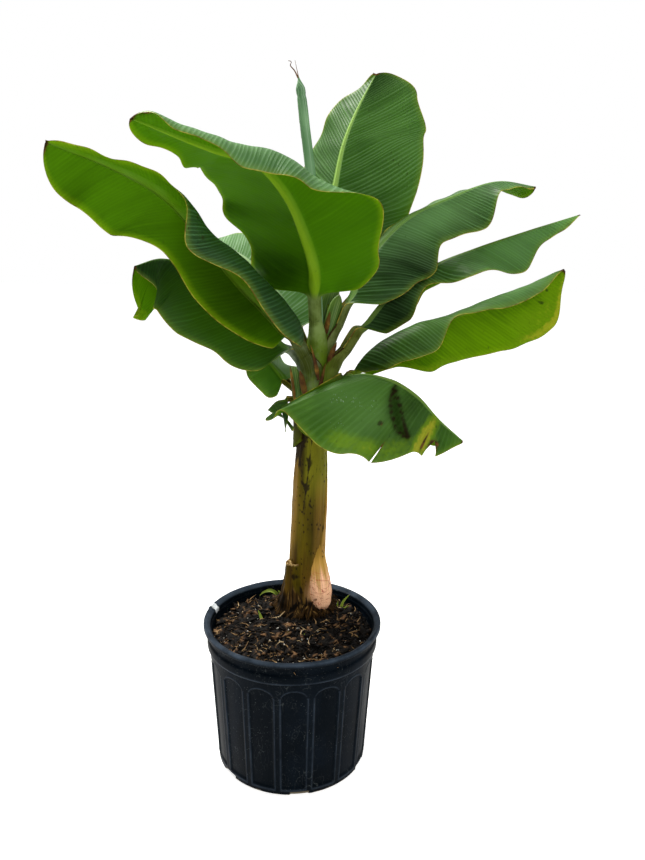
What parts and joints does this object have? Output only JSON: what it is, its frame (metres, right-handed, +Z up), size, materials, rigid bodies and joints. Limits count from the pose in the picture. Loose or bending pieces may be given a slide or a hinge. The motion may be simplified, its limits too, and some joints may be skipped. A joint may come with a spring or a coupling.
{
  "type": "potted banana plant",
  "caption": "Banana plant with an upright leaf-sheath stem, broad arching paddle leaves and a rolled young leaf, growing in soil in a ribbed round nursery pot.",
  "frame": {"origin": "centre of the pot's flat underside, on the floor that it stands on", "axes": "+Z up along the pot's axis, -Y towards the viewer of the picture, +X to the viewer's right"},
  "size_m": [0.9198, 0.6139, 1.3604],
  "materials": {
    "pot": "satin",
    "soil": "matte",
    "stem": "satin",
    "young_leaf": "satin",
    "leaf": "satin"
  },
  "bodies": {
    "root": {"pot": "pot", "soil": "soil", "pseudostem": "stem", "spear_leaf": "young_leaf", "leaf_left_upper": "leaf", "leaf_front": "leaf", "leaf_back": "leaf", "leaf_right_upper": "leaf", "leaf_right_middle": "leaf", "leaf_right_lower": "leaf", "leaf_front_low": "leaf", "leaf_left_lower": "leaf", "leaf_left_small": "leaf", "leaf_back_left": "leaf", "torn_leaf": "leaf"}
  },
  "joints": []
}
